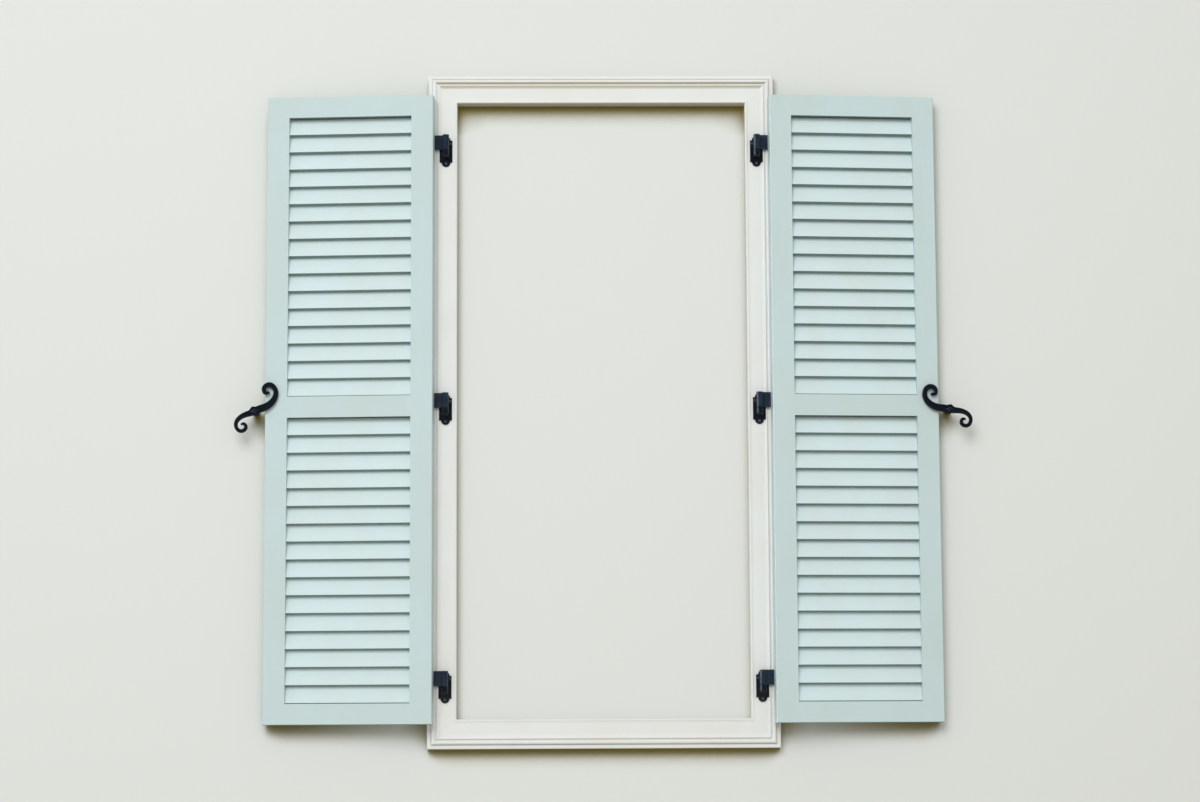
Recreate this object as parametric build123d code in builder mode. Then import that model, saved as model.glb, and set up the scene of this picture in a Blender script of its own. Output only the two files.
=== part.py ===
from build123d import *
from math import cos, radians, sin
import os

# A pair of louvred window shutters hung on a moulded casing, folded back against the wall and held
# open by two scrolled shutter dogs. Millimetres. X runs to the right along the wall, Y into the wall,
# Z up. The origin is the middle of the back face of the casing's foot, so the wall is the plane Y = 0.

os.makedirs("parts", exist_ok=True)

# Casing
CASING_SPAN = 825.0
CASING_BEYOND_LEAF = 48.0
CASING_WIDTH = 60.0
FLAT_HEIGHT = 29.5
BEAD_HEIGHT = 33.0
RIDGE_HEIGHT = 32.2
OGEE_HEIGHT = 31.6
OGEE_HOLLOW = 0.6
LIP_HEIGHT = 31.4
LIP_EDGE_HEIGHT = 31.0
LIP_HOLLOW = 0.4
QUIRK_HEIGHT = 28.0
QUIRK_EDGE_HEIGHT = 29.0
BEAD_WIDTH = 10.0
QUIRK_WIDTH = 2.4
RIDGE_WIDTH = 4.0
OGEE_WIDTH = 7.6
LIP_WIDTH = 5.0
LIP_SLOPE = 5.0
SIDE_HEIGHT = 26.5
FIN_WIDTH = 11.0
FIN_HEIGHT = 10.0

# Leaves
LEAF_WIDTH = 406.4
LEAF_HEIGHT = 1524.0
LEAF_THICKNESS = 35.0
LEAF_TURN = 5.0
STILE_WIDTH = 53.0
END_RAIL = 50.5
MIDDLE_RAIL = 51.0
ARRIS = 1.5
TENON_LENGTH = 28.0
TENON_THICKNESS = 12.0
TENON_SHOULDER = 8.0
JOINERY_GAP = 0.15

# Louvres
SLAT_SPACING = 42.8
SLAT_WIDTH = 44.0
SLAT_THICKNESS = 11.4
SLAT_TILT = 20.5
SLAT_EDGE = 2.2
SLAT_HOUSING = 9.0
SLAT_HEAD_GAP = 0.3
LOWEST_SLAT_RISE = 20.4

# Hinges
PIN_INSET = 32.5
PIN_STANDOFF = 47.0
PIN_RADIUS = 4.75
PIN_CLEARANCE = 0.05
PIN_SHORT = 1.0
EYE_RADIUS = 8.0
EYE_TO_LEAF = 27.5
EYE_REST_GAP = 0.3
STRAP_THICKNESS = 3.2
STRAP_HEIGHT = 36.0
STRAP_REACH = 47.0
STRAP_CORNER = 6.0
TOP_HINGE_DOWN = 111.5
MIDDLE_HINGE_RISE = 16.0
BOTTOM_HINGE_UP = 109.0
PLATE_WIDTH = 31.0
PLATE_HEIGHT = 54.4
PLATE_LOBE = 10.8
PLATE_THICKNESS = 3.2
PLATE_DROP = 20.6
PLATE_HOUSING_GAP = 0.4
BOSS_HEIGHT = 19.0
WEB_WIDTH = 11.0
SCREW_HOLE_RADIUS = 2.0

# Shutter dogs
DOG_BEYOND_LEAF = 24.1
DOG_BELOW_CENTRE = 10.0
DOG_BEFORE_LEAF = 5.5
DOG_THICKNESS = 7.0
DOG_END_GAP = 0.3
DOG_BORE_CLEARANCE = 0.06
LEFT_DOG_TURN = 0.0
RIGHT_DOG_TURN = 12.5
HUB_HALF_LENGTH = 11.0
HUB_HALF_HEIGHT = 12.5
JOURNAL_RADIUS = 4.0
COLLAR_RADIUS = 7.0
SHANK_RADIUS = 4.0
SHANK_LENGTH = 45.0
CAP_LENGTH = 21.0
CAP_HEIGHT = 13.0
CAP_THICKNESS = 6.0
CAP_TAPER = 31.0
CAP_LEAN = 16.0
# Stations of the dog's centre line from its pivot: across, up, half the band's width
UPPER_SCROLL = [(0, 0, 7.0), (15, 4.5, 8.0), (32, 12, 7.4), (44, 23, 6.5), (50.7, 37, 5.5), (49.5, 54, 4.9),
                (35, 65, 5.4), (21, 55.5, 4.6), (25, 43.5, 3.9), (33.5, 44.8, 3.0)]
LOWER_SCROLL = [(0, 0, 7.0), (-13, -4.2, 6.4), (-33.5, -13, 5.2), (-45.5, -30, 4.1), (-42, -43.5, 3.8),
                (-32.5, -49, 4.0), (-20, -39.5, 3.9), (-26, -29.6, 3.2), (-31.5, -31.3, 2.3)]
SCROLL_ARCS = 8

LEFT, RIGHT = -1, 1
SIDES = {"left": LEFT, "right": RIGHT}
STILES = ("hinge", "outer")

CASING_HEIGHT = LEAF_HEIGHT + 2 * CASING_BEYOND_LEAF
MIDDLE_Z = (CASING_HEIGHT - CASING_WIDTH) / 2
OPENING_HEIGHT = (LEAF_HEIGHT - 2 * END_RAIL - MIDDLE_RAIL) / 2
LEAF_FOOT_Z = MIDDLE_Z - LEAF_HEIGHT / 2
PIN_X = CASING_SPAN / 2 - PIN_INSET
EYE_DEPTH = LEAF_THICKNESS + STRAP_THICKNESS - EYE_RADIUS
# The leaf's outer front edge: its distance from the middle of the casing, and from the wall
LEAF_COS, LEAF_SIN = cos(radians(LEAF_TURN)), sin(radians(LEAF_TURN))
LEAF_EDGE_X = PIN_X + (EYE_TO_LEAF + LEAF_WIDTH) * LEAF_COS + EYE_DEPTH * LEAF_SIN
LEAF_EDGE_STANDOFF = PIN_STANDOFF - (EYE_TO_LEAF + LEAF_WIDTH) * LEAF_SIN + EYE_DEPTH * LEAF_COS
DOG_X = LEAF_EDGE_X + DOG_BEYOND_LEAF
DOG_STANDOFF = LEAF_EDGE_STANDOFF + DOG_BEFORE_LEAF
# Heights of the strap centres above the leaf's foot
HINGE_HEIGHTS = {
    "top": LEAF_HEIGHT - TOP_HINGE_DOWN,
    "middle": LEAF_HEIGHT / 2 + MIDDLE_HINGE_RISE,
    "bottom": BOTTOM_HINGE_UP,
}


def casing_profile():
    """Section of the moulding: across from its outer edge, and up from the wall."""
    quirk = BEAD_WIDTH + QUIRK_WIDTH / 2
    ridge = BEAD_WIDTH + QUIRK_WIDTH
    ogee = ridge + RIDGE_WIDTH
    flat = ogee + OGEE_WIDTH
    lip = CASING_WIDTH - LIP_WIDTH
    with BuildSketch() as profile:
        with BuildLine():
            Polyline((0, SIDE_HEIGHT), (0, FIN_HEIGHT), (-FIN_WIDTH, FIN_HEIGHT), (-FIN_WIDTH, 0),
                     (CASING_WIDTH, 0), (CASING_WIDTH, QUIRK_HEIGHT))
            ThreePointArc((0, SIDE_HEIGHT), (BEAD_WIDTH / 2, BEAD_HEIGHT), (BEAD_WIDTH, QUIRK_EDGE_HEIGHT))
            Polyline((BEAD_WIDTH, QUIRK_EDGE_HEIGHT), (quirk, QUIRK_HEIGHT), (ridge, QUIRK_EDGE_HEIGHT))
            ThreePointArc((ridge, QUIRK_EDGE_HEIGHT), (ridge + RIDGE_WIDTH / 2, RIDGE_HEIGHT),
                          (ogee, OGEE_HEIGHT))
            ThreePointArc((ogee, OGEE_HEIGHT), ((ogee + flat) / 2, FLAT_HEIGHT + OGEE_HOLLOW),
                          (flat, FLAT_HEIGHT))
            Line((flat, FLAT_HEIGHT), (lip - LIP_SLOPE, FLAT_HEIGHT))
            ThreePointArc((lip - LIP_SLOPE, FLAT_HEIGHT), (lip - LIP_SLOPE / 2, FLAT_HEIGHT + LIP_HOLLOW),
                          (lip, LIP_EDGE_HEIGHT))
            ThreePointArc((lip, LIP_EDGE_HEIGHT), (lip + LIP_WIDTH / 2, LIP_HEIGHT),
                          (CASING_WIDTH, QUIRK_HEIGHT))
        make_face()
    return profile.sketch


def plate_outline(x, z, gap):
    """Pintle plate seen from the front: a rectangle with a round lobe above and below."""
    with Locations((x, z)):
        Rectangle(PLATE_WIDTH + 2 * gap, PLATE_HEIGHT + 2 * gap)
    with Locations((x, z - PLATE_HEIGHT / 2), (x, z + PLATE_HEIGHT / 2)):
        Circle(PLATE_LOBE + gap)


def plate_screws(x, z):
    """Places of a plate's two screws, one in each lobe."""
    lobe = PLATE_HEIGHT / 2 + PLATE_LOBE / 4
    return [(x, z - lobe), (x, z + lobe)]


def strap_z(name):
    return LEAF_FOOT_Z + HINGE_HEIGHTS[name]


def front_plane(height):
    """Plane parallel to the wall, this far in front of it, with X right, Y up, facing the viewer."""
    return Plane(origin=(0, -height, 0), x_dir=(1, 0, 0), z_dir=(0, -1, 0))


def leaf_plane(side):
    """Plane of the leaf's foot: X along the leaf, Y through its thickness from the front face."""
    along = Vector(LEAF_COS, side * LEAF_SIN, 0)
    through = Vector(-side * LEAF_SIN, LEAF_COS, 0)
    pin = Vector(side * PIN_X, -PIN_STANDOFF, LEAF_FOOT_Z)
    corner = pin + along * (side * EYE_TO_LEAF) - through * EYE_DEPTH
    return Plane(origin=corner, x_dir=along, z_dir=(0, 0, 1))


def end_plane(side, u):
    """Plane across the leaf at the distance u from its hinge edge: X through the leaf, Y up."""
    leaf = leaf_plane(side)
    return Plane(origin=leaf.from_local_coords(Vector(side * u, 0, 0)), x_dir=leaf.y_dir, z_dir=leaf.x_dir)


def save(part, name):
    part.label = name
    export_step(part, "parts/" + name + ".step")


def make_casing_member(name, corner, inward, length, plates):
    """One mitred member. It runs from its outer corner, with the moulding's lip on the inward side."""
    inward = Vector(*inward)
    outward = Vector(0, -1, 0)
    run = inward.cross(outward)
    start = Vector(*corner) - run * FIN_WIDTH
    with BuildPart() as member:
        with BuildSketch(Plane(origin=start, x_dir=inward, z_dir=run)):
            add(casing_profile())
        extrude(amount=length + 2 * FIN_WIDTH)
        with BuildSketch(Plane(origin=corner, x_dir=inward, z_dir=outward)):
            with BuildLine():
                Polyline((-FIN_WIDTH, FIN_WIDTH), (CASING_WIDTH, -CASING_WIDTH),
                         (CASING_WIDTH, CASING_WIDTH - length), (-FIN_WIDTH, -length - FIN_WIDTH), close=True)
            make_face()
        extrude(amount=BEAD_HEIGHT + 1, mode=Mode.INTERSECT)
        if plates:
            with BuildSketch(front_plane(FLAT_HEIGHT)):
                for x, z in plates:
                    plate_outline(x, z, PLATE_HOUSING_GAP)
            extrude(amount=BEAD_HEIGHT, mode=Mode.SUBTRACT)
    save(member.part, name)


def make_casing():
    x = CASING_SPAN / 2
    top = MIDDLE_Z + CASING_HEIGHT / 2
    foot = MIDDLE_Z - CASING_HEIGHT / 2
    seats = {
        side: [(side * PIN_X, strap_z(name) - PLATE_DROP) for name in HINGE_HEIGHTS]
        for side in SIDES.values()
    }
    make_casing_member("casing_left_jamb", (-x, 0, top), (1, 0, 0), CASING_HEIGHT, seats[LEFT])
    make_casing_member("casing_right_jamb", (x, 0, foot), (-1, 0, 0), CASING_HEIGHT, seats[RIGHT])
    make_casing_member("casing_head", (x, 0, top), (0, 0, -1), CASING_SPAN, [])
    make_casing_member("casing_foot", (-x, 0, foot), (0, 0, 1), CASING_SPAN, [])


def make_pintle(side_name, hinge):
    """Plate with the boss and upright pin that the leaf's strap drops on."""
    side = SIDES[side_name]
    x = side * PIN_X
    strap = strap_z(hinge)
    plate = strap - PLATE_DROP
    boss_top = strap - STRAP_HEIGHT / 2 - EYE_REST_GAP
    pin_top = strap + STRAP_HEIGHT / 2 - PIN_SHORT
    with BuildPart() as pintle:
        with BuildSketch(Plane(origin=(x, -PIN_STANDOFF, boss_top), z_dir=(0, 0, -1))):
            Circle(EYE_RADIUS)
        extrude(amount=BOSS_HEIGHT)
        with BuildSketch(front_plane(FLAT_HEIGHT + PLATE_THICKNESS / 2)):
            with Locations((x, boss_top - BOSS_HEIGHT / 2)):
                Rectangle(WEB_WIDTH, BOSS_HEIGHT)
        extrude(amount=PIN_STANDOFF - FLAT_HEIGHT - PLATE_THICKNESS / 2)
        with BuildSketch(front_plane(FLAT_HEIGHT)):
            plate_outline(x, plate, 0)
            with Locations(*plate_screws(x, plate)):
                Circle(SCREW_HOLE_RADIUS, mode=Mode.SUBTRACT)
        extrude(amount=PLATE_THICKNESS)
        with BuildSketch(Plane(origin=(x, -PIN_STANDOFF, boss_top))):
            Circle(PIN_RADIUS)
        extrude(amount=pin_top - boss_top)
    save(pintle.part, side_name + "_" + hinge + "_pintle")


def make_strap(side_name, hinge):
    """Hinge strap on the leaf's back, rolled at its end into the eye that turns on the pin."""
    side = SIDES[side_name]
    height = HINGE_HEIGHTS[hinge]
    with BuildPart() as strap:
        with BuildSketch(leaf_plane(side).offset(height - STRAP_HEIGHT / 2)):
            with Locations((side * (STRAP_REACH - EYE_TO_LEAF) / 2, LEAF_THICKNESS + STRAP_THICKNESS / 2)):
                Rectangle(STRAP_REACH + EYE_TO_LEAF, STRAP_THICKNESS)
            with Locations((-side * EYE_TO_LEAF, EYE_DEPTH)):
                Circle(EYE_RADIUS)
                Circle(PIN_RADIUS + PIN_CLEARANCE, mode=Mode.SUBTRACT)
        extrude(amount=STRAP_HEIGHT)
        leaf = leaf_plane(side)
        through = strap.edges().filter_by(Axis(leaf.origin, leaf.y_dir))
        chamfer(through.sort_by(Axis(leaf.origin, leaf.x_dir * side))[-2:], STRAP_CORNER)
    save(strap.part, side_name + "_" + hinge + "_strap")


def panel_feet():
    """Heights of the lower edges of the two louvred openings above the leaf's foot."""
    return {"lower": END_RAIL, "upper": END_RAIL + OPENING_HEIGHT + MIDDLE_RAIL}


def slat_centres(foot):
    """Centre of each louvre through the leaf and above its foot, from the top one down."""
    half_height = SLAT_WIDTH / 2 * cos(radians(SLAT_TILT)) + SLAT_THICKNESS / 2 * sin(radians(SLAT_TILT))
    rise = OPENING_HEIGHT - SLAT_HEAD_GAP - half_height - LOWEST_SLAT_RISE
    steps = round(rise / SLAT_SPACING)
    return [(LEAF_THICKNESS / 2, foot + LOWEST_SLAT_RISE + rise * i / steps) for i in range(steps, -1, -1)]


def rails():
    """Foot and height of each rail above the leaf's foot."""
    return {
        "bottom": (0, END_RAIL),
        "middle": (END_RAIL + OPENING_HEIGHT, MIDDLE_RAIL),
        "top": (LEAF_HEIGHT - END_RAIL, END_RAIL),
    }


def make_stile(side_name, which):
    """Upright of a leaf with its eased edges, the rails' mortises and a housing for each louvre."""
    side = SIDES[side_name]
    outer_u, inner_u = (0, STILE_WIDTH) if which == "hinge" else (LEAF_WIDTH, LEAF_WIDTH - STILE_WIDTH)
    inward = side if which == "hinge" else -side
    inner = end_plane(side, inner_u)
    housing = (SLAT_THICKNESS + 2 * JOINERY_GAP, SLAT_WIDTH + 2 * JOINERY_GAP)
    with BuildPart() as stile:
        with BuildSketch(leaf_plane(side)):
            with Locations((side * (outer_u + inner_u) / 2, LEAF_THICKNESS / 2)):
                Rectangle(STILE_WIDTH, LEAF_THICKNESS)
            edge = vertices().group_by(Axis.X)
            chamfer(edge[0] if inward == RIGHT else edge[-1], ARRIS)
        extrude(amount=LEAF_HEIGHT)
        with BuildSketch(inner):
            with Locations((LEAF_THICKNESS / 2, LEAF_HEIGHT / 2)):
                Rectangle(LEAF_THICKNESS, LEAF_HEIGHT)
            chamfer(vertices(), ARRIS)
        extrude(amount=-inward * STILE_WIDTH, mode=Mode.INTERSECT)
        with BuildSketch(inner):
            for foot in panel_feet().values():
                with Locations(*slat_centres(foot)):
                    Rectangle(*housing, rotation=-SLAT_TILT)
            for foot, height in rails().values():
                with Locations((LEAF_THICKNESS / 2, foot + height / 2)):
                    Rectangle(LEAF_THICKNESS, height, mode=Mode.SUBTRACT)
        extrude(amount=-inward * SLAT_HOUSING, mode=Mode.SUBTRACT)
        with BuildSketch(inner):
            for foot, height in rails().values():
                with Locations((LEAF_THICKNESS / 2, foot + height / 2)):
                    Rectangle(TENON_THICKNESS + 2 * JOINERY_GAP, height - 2 * (TENON_SHOULDER - JOINERY_GAP))
        extrude(amount=-inward * (TENON_LENGTH + JOINERY_GAP), mode=Mode.SUBTRACT)
    save(stile.part, side_name + "_" + which + "_stile")


def make_rail(side_name, which):
    """Rail between the stiles with a tenon at each end."""
    side = SIDES[side_name]
    foot, height = rails()[which]
    with BuildPart() as rail:
        with BuildSketch(end_plane(side, STILE_WIDTH)):
            with Locations((LEAF_THICKNESS / 2, foot + height / 2)):
                Rectangle(LEAF_THICKNESS, height)
            ends = vertices().group_by(Axis.Y)
            if which == "top":
                chamfer(ends[-1], ARRIS)
            if which == "bottom":
                chamfer(ends[0], ARRIS)
        extrude(amount=side * (LEAF_WIDTH - 2 * STILE_WIDTH))
        with BuildSketch(end_plane(side, STILE_WIDTH - TENON_LENGTH)):
            with Locations((LEAF_THICKNESS / 2, foot + height / 2)):
                Rectangle(TENON_THICKNESS, height - 2 * TENON_SHOULDER)
        extrude(amount=side * (LEAF_WIDTH - 2 * STILE_WIDTH + 2 * TENON_LENGTH))
    save(rail.part, side_name + "_" + which + "_rail")


def make_slats(side_name, panel):
    """The fixed louvres of one panel. The lowest is cut level where it sits on the rail."""
    side = SIDES[side_name]
    foot = panel_feet()[panel]
    end = SLAT_HOUSING - JOINERY_GAP
    with BuildPart() as slats:
        with BuildSketch(end_plane(side, STILE_WIDTH - end)):
            with Locations(*slat_centres(foot)):
                Rectangle(SLAT_THICKNESS, SLAT_WIDTH, rotation=-SLAT_TILT)
            chamfer(vertices(), SLAT_EDGE)
            with Locations((LEAF_THICKNESS / 2, foot)):
                Rectangle(LEAF_THICKNESS, SLAT_WIDTH, align=(Align.CENTER, Align.MAX), mode=Mode.SUBTRACT)
        extrude(amount=side * (LEAF_WIDTH - 2 * STILE_WIDTH + 2 * end))
    save(slats.part, side_name + "_" + panel + "_louvres")


def scroll_point(line, stations, marks, share, across):
    """Point on one edge of the band, beside its centre line at this share of the line's length."""
    k = max(j for j in range(len(stations) - 1) if marks[j] <= share + 1e-9)
    part_way = (share - marks[k]) / (marks[k + 1] - marks[k])
    half = stations[k][2] + (stations[k + 1][2] - stations[k][2]) * part_way
    return line @ share + (line % share).rotate(Axis.Z, 90) * half * across


def draw_scroll(stations):
    """Tapering band along a smooth line through the stations, both its edges a chain of arcs."""
    line = Edge.make_spline([Vector(x, z) for x, z, half in stations])
    marks = [line.param_at_point(Vector(x, z)) for x, z, half in stations]
    shares = [i / (2 * SCROLL_ARCS) for i in range(2 * SCROLL_ARCS + 1)]
    left = [scroll_point(line, stations, marks, share, 1) for share in shares]
    right = [scroll_point(line, stations, marks, share, -1) for share in shares]
    with BuildSketch() as scroll:
        with BuildLine():
            for edge in (left, right):
                for i in range(0, 2 * SCROLL_ARCS, 2):
                    ThreePointArc(*edge[i:i + 3])
            ThreePointArc(left[-1], line @ 1 + (line % 1) * stations[-1][2], right[-1])
            Line(left[0], right[0])
        make_face()
    return scroll.sketch


def dog_plane(side, standoff, lean=0.0):
    """Plane of a dog at its pivot, drawn towards the leaf, this far in front of the wall."""
    turn = radians(lean - (LEFT_DOG_TURN if side == LEFT else RIGHT_DOG_TURN))
    across = Vector(-side * cos(turn), 0, sin(turn))
    return Plane(origin=(side * DOG_X, -standoff, MIDDLE_Z - DOG_BELOW_CENTRE), x_dir=across,
                 z_dir=(0, side, 0))


def make_post(side_name):
    """Turned post: a shank in the wall, a collar behind the dog, and the journal that the dog turns on."""
    side = SIDES[side_name]
    collar = DOG_STANDOFF - DOG_END_GAP
    journal = DOG_STANDOFF + DOG_THICKNESS + DOG_END_GAP
    centre = Vector(side * DOG_X, 0, MIDDLE_Z - DOG_BELOW_CENTRE)
    with BuildPart() as post:
        with BuildSketch(Plane(origin=centre, x_dir=(1, 0, 0), z_dir=(0, 0, -1))):
            with BuildLine():
                Polyline((0, -SHANK_LENGTH), (SHANK_RADIUS, -SHANK_LENGTH), (SHANK_RADIUS, 0),
                         (COLLAR_RADIUS, 0), (COLLAR_RADIUS, collar), (JOURNAL_RADIUS, collar),
                         (JOURNAL_RADIUS, journal), (0, journal), close=True)
            make_face()
        revolve(axis=Axis(centre, (0, -1, 0)))
    save(post.part, side_name + "_dog_post")


def make_cap(side_name):
    """Faceted lozenge on the end of the post that keeps the dog on it."""
    side = SIDES[side_name]
    seat = DOG_STANDOFF + DOG_THICKNESS + DOG_END_GAP
    with BuildPart() as cap:
        with BuildSketch(dog_plane(side, seat, CAP_LEAN)):
            with BuildLine():
                Polyline((-CAP_LENGTH / 2, 0), (0, -CAP_HEIGHT / 2), (CAP_LENGTH / 2, 0), (0, CAP_HEIGHT / 2),
                         close=True)
            make_face()
        extrude(amount=-side * CAP_THICKNESS, taper=CAP_TAPER)
    save(cap.part, side_name + "_dog_cap")


def make_dog(side_name):
    """S-shaped shutter dog, bored to swivel on its post. It is drawn as the left one, then mirrored."""
    side = SIDES[side_name]
    scrolls = [draw_scroll(UPPER_SCROLL), draw_scroll(LOWER_SCROLL)]
    with BuildPart() as dog:
        with BuildSketch(dog_plane(side, DOG_STANDOFF)):
            add(scrolls)
            with BuildLine():
                Polyline((-HUB_HALF_LENGTH, 0), (0, HUB_HALF_HEIGHT), (HUB_HALF_LENGTH, 0),
                         (0, -HUB_HALF_HEIGHT), close=True)
            make_face()
            Circle(JOURNAL_RADIUS + DOG_BORE_CLEARANCE, mode=Mode.SUBTRACT)
        extrude(amount=-side * DOG_THICKNESS)
    save(dog.part, side_name + "_dog")


make_casing()
for side_name, side in SIDES.items():
    for hinge in HINGE_HEIGHTS:
        make_pintle(side_name, hinge)
        make_strap(side_name, hinge)
    for which in STILES:
        make_stile(side_name, which)
    for which in rails():
        make_rail(side_name, which)
    for panel in panel_feet():
        make_slats(side_name, panel)
    make_dog(side_name)
    make_post(side_name)
    make_cap(side_name)
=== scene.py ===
from math import cos, hypot, pi, radians, sin, sqrt

import bmesh
import bpy
from bpy.props import FloatProperty, FloatVectorProperty, PointerProperty
from mathutils import Matrix, Vector


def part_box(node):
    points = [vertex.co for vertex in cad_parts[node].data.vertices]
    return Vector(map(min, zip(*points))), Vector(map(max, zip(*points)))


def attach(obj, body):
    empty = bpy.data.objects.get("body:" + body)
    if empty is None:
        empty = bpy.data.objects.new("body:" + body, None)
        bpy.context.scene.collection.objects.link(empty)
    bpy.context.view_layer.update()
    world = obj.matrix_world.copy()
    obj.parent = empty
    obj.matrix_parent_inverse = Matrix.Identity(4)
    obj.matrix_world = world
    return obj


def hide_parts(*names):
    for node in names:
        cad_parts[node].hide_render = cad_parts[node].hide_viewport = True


bl_info = {
    "name": "Louvred shutters",
    "version": (1, 0, 0),
    "blender": (4, 5, 0),
    "location": "View3D > Sidebar > Shutters",
    "description": "Dresses a pair of louvred window shutters with their casing, hinges and dogs",
    "category": "Object",
}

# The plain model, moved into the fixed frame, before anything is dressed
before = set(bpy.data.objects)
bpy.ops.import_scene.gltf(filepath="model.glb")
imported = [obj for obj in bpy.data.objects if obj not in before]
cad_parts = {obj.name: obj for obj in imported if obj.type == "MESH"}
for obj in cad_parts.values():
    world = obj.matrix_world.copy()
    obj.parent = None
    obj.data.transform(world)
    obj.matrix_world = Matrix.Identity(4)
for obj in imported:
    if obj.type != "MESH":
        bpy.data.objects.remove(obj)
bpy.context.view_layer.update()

MM = 0.001
LEFT, RIGHT = -1, 1
SIDES = {"left": LEFT, "right": RIGHT}
HINGES = ("top", "middle", "bottom")
FRONT = Vector((0, -1, 0))
UP = Vector((0, 0, 1))
ACROSS, UPWARD = 0, 2

# Places that the plain model shares, in metres
LEAF_TURN = radians(5.0)
PIN_X, PIN_STANDOFF = 0.380, 0.047
EYE_TO_LEAF, EYE_DEPTH = 0.0275, 0.0302
EYE_RADIUS, EYE_BORE = 0.008, 0.0048
LEAF_FOOT_Z, LEAF_HEIGHT, LEAF_WIDTH, LEAF_THICKNESS = 0.018, 1.524, 0.4064, 0.035
STILE_WIDTH, END_RAIL, MIDDLE_RAIL = 0.053, 0.0505, 0.051
OPENING_HEIGHT = (LEAF_HEIGHT - 2 * END_RAIL - MIDDLE_RAIL) / 2
SLAT_COUNT, SLAT_LOWEST, SLAT_HEAD_GAP = 16, 0.0204, 0.0003
SLAT_SIZE = (0.0114, 0.044)
SLAT_TILT = radians(20.5)
SLAT_HOUSING = 0.00885
FLAT_HEIGHT, FIN_WIDTH = 0.0295, 0.011
PLATE_SIZE, PLATE_LOBE, PLATE_DROP = (0.031, 0.0544), 0.0108, 0.0206
PIN_RADIUS, BOSS_HEIGHT, WEB_WIDTH, EYE_REST_GAP = 0.00475, 0.019, 0.011, 0.0003
STRAP_HEIGHT, STRAP_REACH, STRAP_THICKNESS = 0.036, 0.047, 0.0032
DOG_Z, DOG_THICKNESS = 0.770, 0.007
RIGHT_DOG_TURN, CAP_LEAN = radians(12.5), radians(16.0)
# The casing's raised outer band, across its fin and out from the wall
BAND_EDGE, BAND_GAP, BAND_SEAT, BAND_HEIGHT = 0.0002, 0.0003, 0.0095, 0.0262
# Stations of a dog's centre line from its pivot: across, up, half the band's width, in millimetres
UPPER_SCROLL = [(0, 0, 7.0), (15, 4.5, 8.0), (32, 12, 7.4), (44, 23, 6.5), (50.7, 37, 5.5), (49.5, 54, 4.9),
                (35, 65, 5.4), (21, 55.5, 4.6), (25, 43.5, 3.9), (33.5, 44.8, 3.0)]
LOWER_SCROLL = [(0, 0, 7.0), (-13, -4.2, 6.4), (-33.5, -13, 5.2), (-45.5, -30, 4.1), (-42, -43.5, 3.8),
                (-32.5, -49, 4.0), (-20, -39.5, 3.9), (-26, -29.6, 3.2), (-31.5, -31.3, 2.3)]
# The forged band is fuller on the hollow side of its curves, and swells round its pivot
BAND_SWELL = 1.40
DOG_HUB = [(-15, 0.5), (-6.5, 11.5), (1.5, 11), (15, 8), (15, -3), (4, -12.5), (-4, -10.5)]
# Corners of a dog's cap in millimetres, and its steps out: share of the full size, height
CAP_CORNERS = ((-10.5, 0), (0, -6.5), (10.5, 0), (0, 6.5))
CAP_STEPS = ((1.0, 0.0), (1.0, 0.8), (0.36, 6.0))
# Painted shade under the mouldings, and on the undersides of the louvres and rails
PALE_UNDERSIDE_SHADE, DARK_UNDERSIDE_SHADE = (0.420, 0.375, 0.235), (0.052, 0.100, 0.076)
# One colour for the dusty specks and for the painted shade in hollows
DUST_AND_SHADE = (0.300, 0.290, 0.240)
# How far a face has to lean down, as its normal's height, to take the full painted shade and none
UNDERSIDE, HOLLOW_SIDE = (-0.88, -0.34), (-0.45, 0.0)
# The lens and place of the camera
FOCAL_PIXELS, FRAME_PIXELS, SENSOR_WIDTH = 2713.0, 1200.0, 36.0
CAMERA_PLACE = (-0.1112, -6.555, 0.013)
CAMERA_PITCH, CAMERA_TURN, CAMERA_ROLL = 0.1192, 0.0161, -0.0048
# The soft box, and the corners of the wall and floor
KEY_PLACE, KEY_AIM, KEY_COLOUR = Vector((-1.9, -7.9, 5.2)), Vector((0, 0, 0.78)), (0.975, 1.0, 1.030)
FLOOR_Z, WALL_TOP, STAGE_REACH, FLOOR_REACH, STAGE_GAP = -0.9, 6.0, 7.0, 9.0, 0.0005


def colour(name, description, default):
    return FloatVectorProperty(name=name, description=description, default=default, subtype="COLOR",
                               size=3, min=0.0, max=1.0)


def length(name, description, default):
    return FloatProperty(name=name, description=description, default=default, min=0.0, unit="LENGTH",
                         subtype="DISTANCE", precision=5)


def factor(name, description, default):
    return FloatProperty(name=name, description=description, default=default, min=0.0, max=1.0,
                         subtype="FACTOR")


class ShutterFinish(bpy.types.PropertyGroup):
    """Colours and wear of the painted wood and the iron"""
    leaf_paint: colour("Leaf paint", "Duck-egg paint of the stiles and rails", (0.550, 0.668, 0.672))
    # Lighter than the leaf paint as painted light, since the louvres' faces tilt up to the sky
    louvre_paint: colour("Louvre paint", "Fresher paint of the louvres", (0.632, 0.752, 0.770))
    casing_paint: colour("Casing paint", "Warm white paint of the casing", (0.775, 0.785, 0.765))
    iron: colour("Iron", "Black paint of the hinges and dogs", (0.0022, 0.0040, 0.0070))
    iron_wear: colour("Iron wear", "Rubbed edges and dust on the iron", (0.030, 0.036, 0.042))
    paint_gloss: factor("Paint roughness", "How matt the paint is", 0.42)
    iron_gloss: factor("Iron roughness", "How matt the iron's paint is", 0.32)
    # Strength of both the dusty specks and the painted shade in the paint's hollows
    dust_and_crease_shade: factor("Grime", "Dust settled in the corners of the paint", 0.16)


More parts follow.
